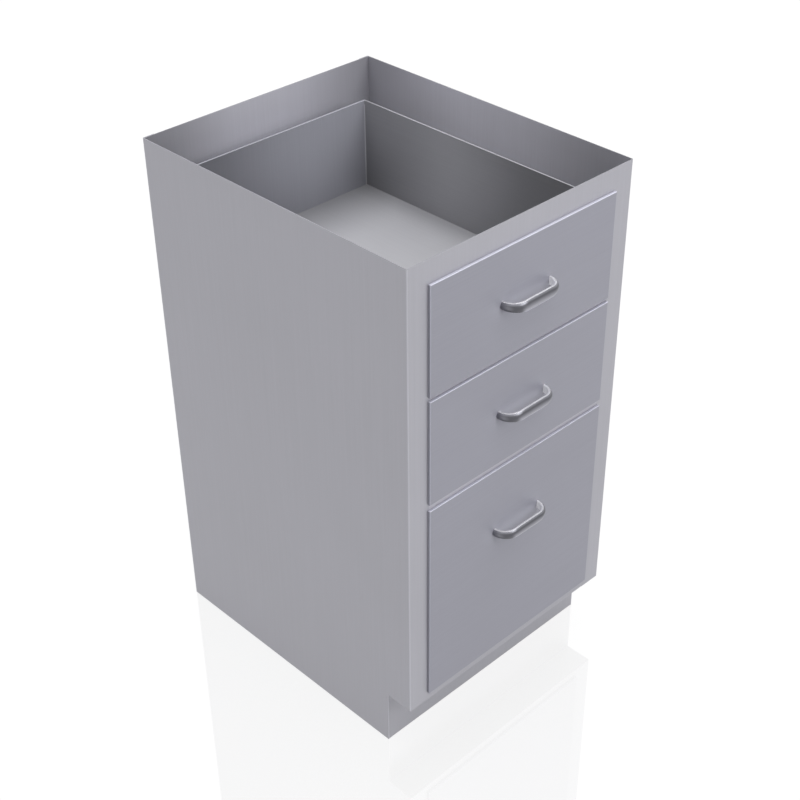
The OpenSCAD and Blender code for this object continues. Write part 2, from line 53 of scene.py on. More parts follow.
# Planes of the cabinet's sheets
SIDE_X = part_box("right_side_panel")[1].x
FRAME_Y, BACK_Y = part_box("right_side_panel")[0].y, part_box("right_side_panel")[1].y
TOP_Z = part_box("right_side_panel")[1].z
OPENING_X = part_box("upper_divider_rail")[1].x
RETURN_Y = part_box("upper_divider_rail")[1].y
TOE_Y, TOE_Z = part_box("toe_board")[0].y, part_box("toe_board")[1].z

# Thickness of the cabinet's and the drawer boxes' sheets, and width of the boxes' hems
SHEET, THIN, HEM = 0.0012, 0.001, 0.0012

# Face corner attribute: 1 on a rubbed edge, which also takes a painted highlight, 0 on a plain face, below 0
# on a cut painted darker as painted shade
WEAR_AND_PAINTED_LIGHT = "edge_wear_and_painted_light"


# ---- Camera, at the photograph's place
def make_camera():
    data = bpy.data.cameras.new("camera")
    data.sensor_width = 36.0
    data.lens = 66.588
    data.shift_x = -0.03077
    data.shift_y = 0.02462
    data.clip_end = 100.0
    camera = bpy.data.objects.new("camera", data)
    camera.location = (-1.3680, -1.43405, 1.8190)
    camera.rotation_euler = (math.radians(54.736), 0.0, math.radians(-45.0))
    bpy.context.scene.collection.objects.link(camera)
    bpy.context.scene.camera = camera


# ---- Node helpers: a value may be a number or another node's socket
def new_tree(owner):
    owner.use_nodes = True
    owner.node_tree.nodes.clear()
    return owner.node_tree


def new_surface(name):
    material = bpy.data.materials.new(name)
    tree = new_tree(material)
    output = node(tree, "ShaderNodeOutputMaterial")
    shader = node(tree, "ShaderNodeBsdfPrincipled")
    tree.links.new(shader.outputs[0], output.inputs["Surface"])
    return material, tree, shader


def node(tree, kind, **values):
    made = tree.nodes.new(kind)
    for key, value in values.items():
        setattr(made, key, value)
    return made


def feed(tree, socket, value):
    if isinstance(value, (int, float)):
        socket.default_value = value
    else:
        tree.links.new(value, socket)


def math_node(tree, operation, first, second=None):
    made = node(tree, "ShaderNodeMath", operation=operation)
    feed(tree, made.inputs[0], first)
    if second is not None:
        feed(tree, made.inputs[1], second)
    return made.outputs[0]


def times(tree, first, second):
    return math_node(tree, "MULTIPLY", first, second)


def plus(tree, first, second):
    return math_node(tree, "ADD", first, second)


# How far a value is from middle, in units of half
def offset(tree, value, middle, half):
    return math_node(tree, "DIVIDE", math_node(tree, "SUBTRACT", value, middle), half)


def spread(tree, value, low, high, to_low, to_high):
    made = node(tree, "ShaderNodeMapRange")
    made.inputs["From Min"].default_value = low
    made.inputs["From Max"].default_value = high
    made.inputs["To Min"].default_value = to_low
    made.inputs["To Max"].default_value = to_high
    tree.links.new(value, made.inputs["Value"])
    return made.outputs["Result"]


def smooth(tree, value, low, high, to_low, to_high):
    made = spread(tree, value, low, high, to_low, to_high)
    made.node.interpolation_type = "SMOOTHSTEP"
    return made


# first where factor is 0, second where it is 1
def blend_tone(tree, factor, first, second):
    made = node(tree, "ShaderNodeMix", data_type="FLOAT")
    tree.links.new(factor, made.inputs["Factor"])
    feed(tree, made.inputs["A"], first)
    feed(tree, made.inputs["B"], second)
    return made.outputs["Result"]


def blend_vector(tree, factor, first, second):
    made = node(tree, "ShaderNodeMix", data_type="VECTOR")
    tree.links.new(factor, made.inputs["Factor"])
    sockets = [socket for socket in made.inputs if socket.type == "VECTOR" and socket.enabled]
    for socket, value in zip(sockets, (first, second)):
        socket.default_value = value
    return [socket for socket in made.outputs if socket.type == "VECTOR" and socket.enabled][0]


def blend_shaders(tree, factor, first, second):
    made = node(tree, "ShaderNodeMixShader")
    feed(tree, made.inputs["Fac"], factor)
    tree.links.new(first.outputs[0], made.inputs[1])
    tree.links.new(second.outputs[0], made.inputs[2])
    return made


def coordinate(tree, kind):
    return node(tree, "ShaderNodeTexCoord").outputs[kind]


# The x, y and z of "Object", the place on the part, or of "Normal", the way that the surface looks
def axes(tree, kind):
    split = node(tree, "ShaderNodeSeparateXYZ")
    tree.links.new(coordinate(tree, kind), split.inputs[0])
    return split.outputs


# 1 for a ray from the camera, from a mirror or through glass, 0 for a ray that lights a surface
def seen_ray(tree):
    path = node(tree, "ShaderNodeLightPath").outputs
    seen = math_node(tree, "MAXIMUM", path["Is Camera Ray"], path["Is Glossy Ray"])
    return math_node(tree, "MAXIMUM", seen, path["Is Transmission Ray"])


def noise(tree, place, scale, detail, roughness=0.5):
    made = node(tree, "ShaderNodeTexNoise")
    made.inputs["Scale"].default_value = scale
    made.inputs["Detail"].default_value = detail
    made.inputs["Roughness"].default_value = roughness
    tree.links.new(place, made.inputs["Vector"])
    return made.outputs["Fac"]


# Noise drawn out along a sheet's grain. The grain runs along the first axis of grain, or along the second
# where the face looks along the first
def grain_noise(tree, grain, along, across, detail):
    scales = [[along if i == axis else across for i in range(3)] for axis in grain]
    facing = math_node(tree, "ABSOLUTE", axes(tree, "Normal")[grain[0]])
    stretch = blend_vector(tree, math_node(tree, "GREATER_THAN", facing, ALONG), *scales)
    scaled = node(tree, "ShaderNodeVectorMath", operation="MULTIPLY")
    tree.links.new(coordinate(tree, "Object"), scaled.inputs[0])
    tree.links.new(stretch, scaled.inputs[1])
    return noise(tree, scaled.outputs[0], 1.0, detail, 0.6)


def set_tint(tree, shader, colour, tone):
    tint = node(tree, "ShaderNodeVectorMath", operation="SCALE")
    if isinstance(colour, tuple):
        tint.inputs[0].default_value = colour
    else:
        tree.links.new(colour, tint.inputs[0])
    tree.links.new(tone, tint.inputs["Scale"])
    tree.links.new(tint.outputs[0], shader.inputs["Base Color"])


def set_bump(tree, shader, height, strength, distance):
    bump = node(tree, "ShaderNodeBump")
    bump.inputs["Strength"].default_value = strength
    bump.inputs["Distance"].default_value = distance
    tree.links.new(height, bump.inputs["Height"])
    tree.links.new(bump.outputs[0], shader.inputs["Normal"])


# ---- Brushed or satin sheet
# Limits of a normal's share along an axis, for a face that looks along the grain, inward, up or sideways
ALONG, INWARD, UPWARD, SIDEWAYS = 0.6, -0.1, 0.5, 0.3
# Noise waves in a metre along the grain, and the noise's detail, for hairlines, wide bands and patches
HAIR_WAVES, HAIR_DETAIL = 9.0, 3.0
BAND_WAVES, BAND_DETAIL, BAND_HAIRS = 2.5, 2.0, 6
PATCH_WAVES, PATCH_DETAIL = 4.0, 3.0
# Parts of the noise's range that are drawn out into tone and roughness
HAIR_RANGE, ROUGH_RANGE, PATCH_RANGE = (0.25, 0.75), (0.2, 0.8), (0.3, 0.7)
# Changes of roughness by hairline and by patch
HAIR_ROUGH, PATCH_ROUGH = 0.06, 0.04
HAIR_BUMP, HAIR_DEPTH = 0.06, 0.0002


# The sheet is painted bright along its folds, partly rubbed and partly a painted highlight, and takes the
# painted light and shade that shade works out, if any
def steel(
    name, colour, grain, metallic=0.4, rough=0.45, streak=0.04, cloud=0.03, fine=2200.0, wear_and_highlight=0.5, shade=None
):
    material, tree, shader = new_surface(name)
    shader.inputs["Metallic"].default_value = metallic
    hair = grain_noise(tree, grain, HAIR_WAVES, fine, HAIR_DETAIL)
    band = grain_noise(tree, grain, BAND_WAVES, fine / BAND_HAIRS, BAND_DETAIL)
    patch = noise(tree, coordinate(tree, "Object"), PATCH_WAVES, PATCH_DETAIL)
    light = spread(tree, hair, *HAIR_RANGE, 1.0 - streak, 1.0 + streak)
    wide = spread(tree, band, *HAIR_RANGE, 1.0 - streak * 0.5, 1.0 + streak * 0.5)
    soft = spread(tree, patch, *PATCH_RANGE, 1.0 - cloud, 1.0 + cloud)
    tone = times(tree, times(tree, light, wide), soft)
    # Marked edges are painted brighter, partly rubbed and partly a painted highlight, and marked cuts darker,
    # as painted shade
    edge = node(tree, "ShaderNodeAttribute", attribute_name=WEAR_AND_PAINTED_LIGHT)
    tone = times(tree, tone, plus(tree, times(tree, edge.outputs["Fac"], wear_and_highlight), 1.0))
    if shade:
        tone = times(tree, tone, shade(tree))
    set_tint(tree, shader, colour, tone)
    dull = spread(tree, hair, *ROUGH_RANGE, rough - HAIR_ROUGH, rough + HAIR_ROUGH)
    smear = spread(tree, patch, *PATCH_RANGE, -PATCH_ROUGH, PATCH_ROUGH)
    tree.links.new(plus(tree, dull, smear), shader.inputs["Roughness"])
    set_bump(tree, shader, hair, HAIR_BUMP, HAIR_DEPTH)
    return material


# Runs of the painted shade inside a box, in half widths or depths from its middle
CORNER_RUN, FRONT_RUN, LEFT_RUN, FLOOR_RUN = (0.1, 1.0), (-0.55, 0.35), (-1.0, 0.8), (0.45, 1.0)
FLOOR_ACROSS = 0.72


# Painted light and shade on inner faces: brighter amid the walls, and darker towards the corners as painted
# shade.
# centre and half are the middle and the half width and depth, wall and floor the tones amid and in the
# corner, front and left the tones that the walls fall to at those ends, and heights two levels and their tones
def painted_inner_shade(centre, half, wall, floor, front=1.0, left=1.0, heights=None):
    def shade(tree):
        place, facing = axes(tree, "Object"), axes(tree, "Normal")
        across = offset(tree, place[X], centre[0], half[0])
        along = offset(tree, place[Y], centre[1], half[1])
        outward = plus(tree, times(tree, facing[X], across), times(tree, facing[Y], along))
        inward = math_node(tree, "LESS_THAN", outward, INWARD)
        upward = math_node(tree, "GREATER_THAN", facing[Z], UPWARD)
        across = math_node(tree, "ABSOLUTE", across)
        along = math_node(tree, "ABSOLUTE", along)
        wall_tone = smooth(tree, times(tree, across, along), *CORNER_RUN, *wall)
        to_front = smooth(tree, place[Y], *(centre[1] + half[1] * part for part in FRONT_RUN), front, 1.0)
        to_left = smooth(tree, place[X], *(centre[0] + half[0] * part for part in LEFT_RUN), left, 1.0)
        wall_tone = times(tree, wall_tone, times(tree, to_front, to_left))
        if heights:
            wall_tone = times(tree, wall_tone, smooth(tree, place[Z], *heights))
        to_edge = math_node(tree, "MAXIMUM", times(tree, across, FLOOR_ACROSS), along)
        floor_tone = smooth(tree, to_edge, *FLOOR_RUN, *floor)
        tone = blend_tone(tree, inward, 1.0, wall_tone)
        return blend_tone(tree, upward, tone, floor_tone)

    return shade


# A front's folds, painted brighter where they look up or down as a painted highlight: the run of the normal's
# z, and the tones along it
TOP_FOLD, LOWER_FOLD = (0.3, 0.9, 1.0, 1.4), (-0.3, -0.9, 1.0, 1.9)
# The sheet behind a pull, painted lighter against the shade that the pull casts: its tone, and the middle and
# the half size of that place
PULL_SHADE_LIFT = 1.165
PULL_SHADE_X, PULL_SHADE_RISE = -0.010, 0.006
PULL_SHADE_HALF_W, PULL_SHADE_HALF_H = 0.085, 0.042


# Fronts: the folds along the top and the bottom are painted bright, a painted highlight, and the sheet behind
# the pulls is painted lighter over the pulls' shade
def front_shade(tree):
    facing, place = axes(tree, "Normal"), axes(tree, "Object")
    folds = times(tree, smooth(tree, facing[Z], *TOP_FOLD), smooth(tree, facing[Z], *LOWER_FOLD))
    across = offset(tree, place[X], PULL_SHADE_X, PULL_SHADE_HALF_W)
    nearest = None
    for drawer in DRAWERS:
        level = sum(corner.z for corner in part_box(f"{drawer}_pull")) / 2
        up = offset(tree, place[Z], level + PULL_SHADE_RISE, PULL_SHADE_HALF_H)
        up = times(tree, up, up)
        nearest = up if nearest is None else math_node(tree, "MINIMUM", nearest, up)
    away = math_node(tree, "POWER", plus(tree, times(tree, across, across), nearest), 0.5)
    return times(tree, folds, smooth(tree, away, 0.0, 1.0, PULL_SHADE_LIFT, 1.0))


# A pull's crown, with a painted reflection: runs of the normal's z, then of its x, and what the tone gains
# along them
UPPER, BELOW, LOWEST = (0.4, 0.68, 0.11, 0.24), (0.35, -0.4, 0.0, 0.32), (-0.48, -0.62, 0.0, 0.25)
LEFT_END, FROM_LEFT, TO_RIGHT = (-0.7, -0.95, 0.0, 0.1), (-0.45, -0.1, 0.0, 1.0), (0.85, 0.5, 0.0, 1.0)
# Its faces painted bright as a painted reflection: run along the left foot and tones from there on, and the
# tone of those that look sideways
LEFT_FOOT, EDGE_TONES, SIDEWAYS_TONE = (0.008, 0.020), (0.66, 0.92), 1.0
CROWN_TINT, BRIGHT_TINT = (0.97, 0.97, 1.09), (1.0, 1.0, 1.02)
PULL_METAL, SIDEWAYS_METAL = 0.9, 0.1
PULL_HAIR, PULL_STREAK, PULL_ROUGH = (30.0, 900.0, 2.0), (0.93, 1.07), (0.32, 0.44)


# Pulls, a painted reflection: edges and inner side painted bright, the crowned face satin, painted darker
# above and at the bow's ends
def pull_steel():
    material, tree, shader = new_surface("polished_pull")
    facing = axes(tree, "Normal")
    bow = times(tree, smooth(tree, facing[X], *FROM_LEFT), smooth(tree, facing[X], *TO_RIGHT))
    lit = plus(tree, spread(tree, facing[Z], *BELOW), smooth(tree, facing[Z], *LOWEST))
    crown = plus(tree, smooth(tree, facing[Z], *UPPER), times(tree, lit, bow))
    crown = plus(tree, crown, smooth(tree, facing[X], *LEFT_END))
    sideways = math_node(tree, "GREATER_THAN", math_node(tree, "ABSOLUTE", facing[X]), SIDEWAYS)
    painted_bright = node(tree, "ShaderNodeAttribute", attribute_name=WEAR_AND_PAINTED_LIGHT).outputs["Fac"]
    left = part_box("upper_pull")[0].x
    edge = smooth(tree, axes(tree, "Object")[X], *(left + reach for reach in LEFT_FOOT), *EDGE_TONES)
    tone = blend_tone(tree, painted_bright, crown, blend_tone(tree, sideways, edge, SIDEWAYS_TONE))
    metal = blend_tone(tree, times(tree, painted_bright, sideways), PULL_METAL, SIDEWAYS_METAL)
    tree.links.new(metal, shader.inputs["Metallic"])
    hair = grain_noise(tree, (X, Y), *PULL_HAIR)
    tone = times(tree, tone, spread(tree, hair, *HAIR_RANGE, *PULL_STREAK))
    set_tint(tree, shader, blend_vector(tree, painted_bright, CROWN_TINT, BRIGHT_TINT), tone)
    tree.links.new(spread(tree, hair, *ROUGH_RANGE, *PULL_ROUGH), shader.inputs["Roughness"])
    set_bump(tree, shader, hair, 0.03, 0.0001)
    return material


# Painted shade inside a drawer: darker towards its front, in its corners and low down, lighter high up
def drawer_steel(drawer, part, colour, wall, wear_and_highlight, left):
    low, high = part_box(f"{drawer}_drawer_box")
    centre = (0.0, (low.y + high.y) / 2)
    half = (high.x, (high.y - low.y) / 2)
    shade = painted_inner_shade(
        centre, half, wall, (1.0, 0.64), front=0.5, left=left, heights=(low.z, high.z, 0.8, 1.15)
    )
    return steel(f"satin_{drawer}_{part}", colour, (Y, Z), wear_and_highlight=wear_and_highlight, shade=shade)


CABINET_CENTRE, CABINET_HALF = (0.0, (FRAME_Y + BACK_Y) / 2), (SIDE_X, (BACK_Y - FRAME_Y) / 2)
MATERIALS = {
    # The cabinet's inner walls are painted lighter amid and darker towards the corners, the front and the
    # left: painted light and shade
    "body_steel": steel(
        "brushed_body", (0.4125, 0.4095, 0.4500), (Z, Y),
        shade=painted_inner_shade(CABINET_CENTRE, CABINET_HALF, (1.74, 0.95), (1.0, 1.0), front=0.87, left=0.79),
    ),
    "front_steel": steel(
        "brushed_front", (0.310, 0.310, 0.359), (X, Y), metallic=0.2, rough=0.5, wear_and_highlight=0.3, shade=front_shade
    ),
    "support_steel": steel("satin_support", (0.36, 0.36, 0.38), (Z, Y)),
    "pull_steel": pull_steel(),
    "slide_steel": steel("plated_slide", (0.42, 0.43, 0.45), (Y, Z), metallic=0.8, rough=0.4, wear_and_highlight=0.3),
    "cage_steel": steel("plated_cage", (0.50, 0.46, 0.34), (Y, Z), metallic=0.9, rough=0.3),
    "ball_steel": steel("polished_ball", (0.70, 0.70, 0.72), (Y, Z), metallic=1.0, rough=0.12),
    "screw_steel": steel("plain_screw", (0.45, 0.45, 0.47), (Z, Y), metallic=0.9, rough=0.35),
    "core_board": steel("fibre_board", (0.36, 0.27, 0.16), (Z, Y), metallic=0.0, rough=0.85),
    "rubber": steel("moulded_rubber", (0.02, 0.02, 0.02), (Z, Y), metallic=0.0, rough=0.75),
}
# The divider rails are painted lighter than the body: painted light in the shaded gaps between the fronts
RAIL = steel("brushed_rail", (0.515, 0.511, 0.555), (X, Y), wear_and_highlight=0.6)
# The drawer boxes and their backs take painted light and shade inside, each in its own tones
BOX_STEEL = {d: drawer_steel(d, "box", (0.310, 0.310, 0.330), (1.14, 0.77), 1.3, 0.6) for d in DRAWERS}
BACK_STEEL = {d: drawer_steel(d, "back", (0.310, 0.313, 0.352), (1.28, 1.06), 0.8, 0.44) for d in DRAWERS}

SLOT_OF = {part["node"]: part["material_slot"] for part in frame["record"]["subparts"]}


def finish_of(name):
    if name.endswith("divider_rail"):
        return RAIL
    if name.endswith("drawer_back"):
        return BACK_STEEL[name.split("_")[0]]
    if SLOT_OF[name] == "drawer_steel":
        return BOX_STEEL[name.split("_")[0]]
    return MATERIALS[SLOT_OF[name]]


for name, shown in frame["nodes"].items():
    shown.data.materials.clear()
    shown.data.materials.append(finish_of(name))


# ---- Formed sheet: a copy of a node's mesh with real bend radii and eased edges
BODY_OF = {n: body for body, nodes in frame["record"]["behaviour"]["bodies"].items() for n in nodes}

# Points closer than SAME are one, coordinates within LEVEL equal, and those within NEAR on a line or plane
SAME, LEVEL, NEAR = 2e-6, 1e-5, 2e-5
# Faces that meet at less than FLAT are one, and edges over EASY are eased, over CREASE shaded sharp
FLAT, EASY, CREASE = math.radians(0.5), math.radians(35), math.radians(50)

# Radii of the bends, outside and inside, and the number of faces in each
BEND_STEPS, INNER_STEPS, HEM_STEPS = 5, 3, 6
SIDE_BEND, SIDE_INNER_BEND = 0.0016, 0.0005
FRAME_BEND, FRAME_INNER_BEND = 0.0014, 0.0004
FRONT_BEND, LINER_BEND = 0.0012, 0.0014
BOX_BEND, BOX_INNER_BEND, HEM_BEND = 0.0014, 0.0005, 0.00105
EASED, BOX_EASED, KEPT_EASED, EASE_STEPS = 0.00018, 0.00015, 0.0002, 2
# Shortest edge that is eased, in radii
SHORTEST = 2.5

# Tones of a box's inner bend (rubbed, with a painted highlight), of the cuts that look up (painted shade), of
# the toe notch's cuts (rubbed by shoes, and painted light) and of the welds (rubbed, with a painted
# highlight), and the share of a bend's tone that its sides keep
BOX_INNER_WEAR_AND_HIGHLIGHT, CUT_SHADE, SCUFF_AND_LIGHT, WELD_WEAR_AND_HIGHLIGHT, BEND_SIDE = 0.1, -0.8, 0.7, 0.6, 0.4
# How far a cut's eased sides reach below it
CUT_REACH = 0.0004

# Planes on which the frame's sheets are welded flush to the side panels
FLUSH = [(X, OPENING_X), (X, -OPENING_X)]


def copied(name):
    bm = bmesh.new()
    bm.from_mesh(frame["nodes"][name].data)
    bmesh.ops.remove_doubles(bm, verts=bm.verts[:], dist=SAME)
    bmesh.ops.dissolve_limit(bm, angle_limit=FLAT, verts=bm.verts[:], edges=bm.edges[:])
    return bm


# Edges that run along axis through one of the lines, which give the other two coordinates in their order
def edges_on(bm, axis, lines):
    first, second = [i for i in range(3) if i != axis]
    found = []
    for edge in bm.edges:
        start, end = edge.verts[0].co, edge.verts[1].co
        if abs(start[axis] - end[axis]) < LEVEL:
            continue
        if abs(start[first] - end[first]) > NEAR or abs(start[second] - end[second]) > NEAR:
            continue
        if any(abs(start[first] - u) < NEAR and abs(start[second] - v) < NEAR for u, v in lines):
            found.append(edge)
    return found


def wear_and_light_layer(bm):
    return bm.loops.layers.float.get(WEAR_AND_PAINTED_LIGHT) or bm.loops.layers.float.new(WEAR_AND_PAINTED_LIGHT)


def mark(face, layer, wear_and_light):
    for loop in face.loops:
        loop[layer] = wear_and_light


# Rounds edges, and marks the new faces as rubbed, with a painted highlight, most along their middle
def rounded(bm, edges, radius, segments, wear_and_light=1.0):
    if not edges:
        return
    made = bmesh.ops.bevel(
        bm, geom=edges, offset=radius, offset_type="OFFSET", segments=segments, profile=0.5,
        affect="EDGES", clamp_overlap=True, loop_slide=True, material=-1,
    )
    layer = wear_and_light_layer(bm)
    faces = set(made["faces"])
    for face in faces:
        for loop in face.loops:
            inside = all(other in faces for other in loop.vert.link_faces)
            loop[layer] = wear_and_light if inside else wear_and_light * BEND_SIDE


def bend(bm, axis, lines, radius, segments=BEND_STEPS, wear_and_light=1.0):
    rounded(bm, edges_on(bm, axis, lines), radius, segments, wear_and_light)


# Eases every sharp outer edge that isn't on a plane where the sheet is welded flush to another
def ease(bm, radius=EASED, flush=()):
    edges = []
    for edge in bm.edges:
        if not edge.is_manifold or not edge.is_convex or edge.calc_face_angle(0) < EASY:
            continue
        if edge.calc_length() < SHORTEST * radius:
            continue
        start, end = edge.verts[0].co, edge.verts[1].co
        if any(abs(start[a] - v) < NEAR and abs(end[a] - v) < NEAR for a, v in flush):
            continue
        edges.append(edge)
    rounded(bm, edges, radius, EASE_STEPS)


# Sheared edges that look up are painted darker than the brushed faces, as painted shade
def shade_upward_cuts(bm, level):
    layer = wear_and_light_layer(bm)
    for face in bm.faces:
        if face.normal.z > SIDEWAYS and face.calc_center_median().z > level - CUT_REACH:
            mark(face, layer, CUT_SHADE)


# The toe notch's cut edges are painted bright: rubbed by shoes, and painted light in the shade of the toe
# recess
def scuff_and_light(bm):
    layer = wear_and_light_layer(bm)
    for face in bm.faces:
        if face.normal.y < -UPWARD and face.calc_center_median().z < TOE_Z:
            mark(face, layer, SCUFF_AND_LIGHT)


# Makes a piece of the mesh. Faces too thin to see go, because they would bend the shading beside them
def put(name, bm, body, finish, stands_for=()):
    mesh = bpy.data.meshes.new(name)
    bmesh.ops.dissolve_degenerate(bm, dist=SAME, edges=bm.edges[:])
    bm.normal_update()
    for face in bm.faces:
        face.smooth = True
    for edge in bm.edges:
        edge.smooth = len(edge.link_faces) == 2 and edge.calc_face_angle(math.pi) < CREASE
    bm.to_mesh(mesh)
    bm.free()
    mesh.materials.append(finish)
    piece = bpy.data.objects.new(name, mesh)
    bpy.context.scene.collection.objects.link(piece)
    weighted = piece.modifiers.new("weighted_normals", "WEIGHTED_NORMAL")
    weighted.keep_sharp = True
    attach(piece, body)
    if stands_for:
        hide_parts(*stands_for)
    return piece


def formed(name, bm):
    return put(name + "_formed", bm, BODY_OF[name], finish_of(name), [name])


def mirrored(pairs):
    return [(sign * u, v) for sign in (-1, 1) for u, v in pairs]


def form_sides():
    for name in ("left_side_panel", "right_side_panel"):
        bm = copied(name)
        inside = SIDE_X - SHEET
        outer = [(SIDE_X, FRAME_Y), (OPENING_X, RETURN_Y), (SIDE_X, BACK_Y)]
        inner = [(inside, FRAME_Y + SHEET), (OPENING_X + SHEET, RETURN_Y - SHEET), (inside, BACK_Y - SHEET)]
        bend(bm, Z, mirrored(outer), SIDE_BEND)
        bend(bm, Z, mirrored(inner), SIDE_INNER_BEND, INNER_STEPS)
        ease(bm, flush=FLUSH)
        shade_upward_cuts(bm, TOP_Z)
        scuff_and_light(bm)
        formed(name, bm)


def form_frame():
    for name in ("upper_divider_rail", "lower_divider_rail"):
        low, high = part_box(name)
        bm = copied(name)
        bend(bm, X, [(FRAME_Y, low.z), (FRAME_Y, high.z), (RETURN_Y, low.z), (RETURN_Y, high.z)], FRAME_BEND)
        ease(bm, flush=FLUSH)
        formed(name, bm)

    low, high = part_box("top_front_rail")
    inner = [(FRAME_Y + SHEET, low.z + SHEET), (RETURN_Y - SHEET, low.z + SHEET)]
    bm = copied("top_front_rail")
    bend(bm, X, [(FRAME_Y, low.z), (RETURN_Y, low.z)], FRAME_BEND)
    bend(bm, X, inner, FRAME_INNER_BEND, INNER_STEPS)
    ease(bm, flush=FLUSH)
    shade_upward_cuts(bm, TOP_Z)
    formed("top_front_rail", bm)

    low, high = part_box("bottom_panel")
    bm = copied("bottom_panel")
    bend(bm, X, [(FRAME_Y, TOE_Z), (FRAME_Y, high.z)], FRAME_BEND)
    ease(bm, flush=FLUSH)
    formed("bottom_panel", bm)

    bm = copied("toe_board")
    bend(bm, X, [(TOE_Y, TOE_Z), (TOE_Y, 0.0)], FRAME_BEND)
    ease(bm)
    formed("toe_board", bm)

    bm = copied("back_panel")
    ease(bm)
    shade_upward_cuts(bm, TOP_Z)
    formed("back_panel", bm)


# Rounds the rim of a pan, around the face at depth y
def form_pan(name, bm, y, low, high, radius):
    ends = edges_on(bm, Z, [(x, y) for x in (low.x, high.x)])
    levels = edges_on(bm, X, [(y, z) for z in (low.z, high.z)])
    rounded(bm, ends + levels, radius, BEND_STEPS)
    ease(bm)
    formed(name, bm)


def form_drawer(drawer):
    name = f"{drawer}_front_panel"
    low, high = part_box(name)
    form_pan(name, copied(name), low.y, low, high, FRONT_BEND)

    name = f"{drawer}_front_liner"
    low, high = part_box(name)
    bm = copied(name)
    back = [vert.co for vert in bm.verts if abs(vert.co.y - high.y) < LEVEL]
    corners = [Vector([end(point[axis] for point in back) for axis in range(3)]) for end in (min, max)]
    form_pan(name, bm, high.y, *corners, LINER_BEND)

    name = f"{drawer}_drawer_box"
    low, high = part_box(name)
    side = high.x - HEM
    bm = copied(name)
    bend(bm, Y, mirrored([(side, low.z)]), BOX_BEND)
    bend(bm, Y, mirrored([(side - THIN, low.z + THIN)]), BOX_INNER_BEND, INNER_STEPS, BOX_INNER_WEAR_AND_HIGHLIGHT)
    bend(bm, Y, mirrored([(side - THIN, high.z), (side + HEM, high.z)]), HEM_BEND, HEM_STEPS)
    ease(bm, BOX_EASED)
    formed(name, bm)

    name = f"{drawer}_drawer_back"
    low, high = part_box(name)
    bm = copied(name)
    bend(bm, X, [(high.y - HEM - THIN, high.z), (high.y, high.z)], HEM_BEND, HEM_STEPS)
    ease(bm, BOX_EASED)
    formed(name, bm)


# ---- Rings of points, joined into tubes
def join_rings(bm, first, second):
    count = len(first)
    faces = []
    for k in range(count):
        faces.append(bm.faces.new((first[k], first[(k + 1) % count], second[(k + 1) % count], second[k])))
    return faces


# Rounds the corners of a closed outline: each corner is (u, v, radius)
def filleted(corners, steps=4):
    points = []
    count = len(corners)
    for i, (u, v, radius) in enumerate(corners):
        here = Vector((u, v))
        if not radius:
            points.append(here)
            continue
        before = (Vector(corners[i - 1][:2]) - here).normalized()
        after = (Vector(corners[(i + 1) % count][:2]) - here).normalized()
        half = before.angle(after) / 2
        back = radius / math.tan(half)
        centre = here + (before + after).normalized() * (radius / math.sin(half))
        start, end = here + before * back - centre, here + after * back - centre
        first = math.atan2(start.y, start.x)
        sweep = math.remainder(math.atan2(end.y, end.x) - first, 2 * math.pi)
        for k in range(steps + 1):
            angle = first + sweep * k / steps
            points.append(centre + Vector((math.cos(angle), math.sin(angle))) * radius)
    return points


# ---- Pulls: a flat bow with a crowned face, lower towards its feet
PULL_RIM = 0.003
# The outline's point at which the crowned face starts: past two inner fillets and one at the crown's edge
PULL_CROWN_START = 14
PULL_CROWN, PULL_CROWN_STEPS = 0.0035, 18
PULL_INNER_FILLET, PULL_EDGE_FILLET = 0.0007, 0.0005
PULL_FOOT = 0.0126
PULL_TAPER_RUN = 0.003
PULL_TURN_STEPS, PULL_STRAIGHT_STEPS = 22, 12


# The section from its inner side at radius inner out to the crown, as (radius, height from the middle)
def pull_outline(inner, height):
    crown_radius = ((height / 2) ** 2 + PULL_CROWN**2) / (2 * PULL_CROWN)
    middle = inner + PULL_RIM + PULL_CROWN - crown_radius
    tilt = math.asin(height / 2 / crown_radius)
    corners = [(inner, -height / 2, PULL_INNER_FILLET), (inner, height / 2, PULL_INNER_FILLET)]
    for k in range(PULL_CROWN_STEPS + 1):
        angle = tilt - 2 * tilt * k / PULL_CROWN_STEPS
        fillet = PULL_EDGE_FILLET if k in (0, PULL_CROWN_STEPS) else 0.0
        corners.append((middle + crown_radius * math.cos(angle), crown_radius * math.sin(angle), fillet))
    return filleted(corners)


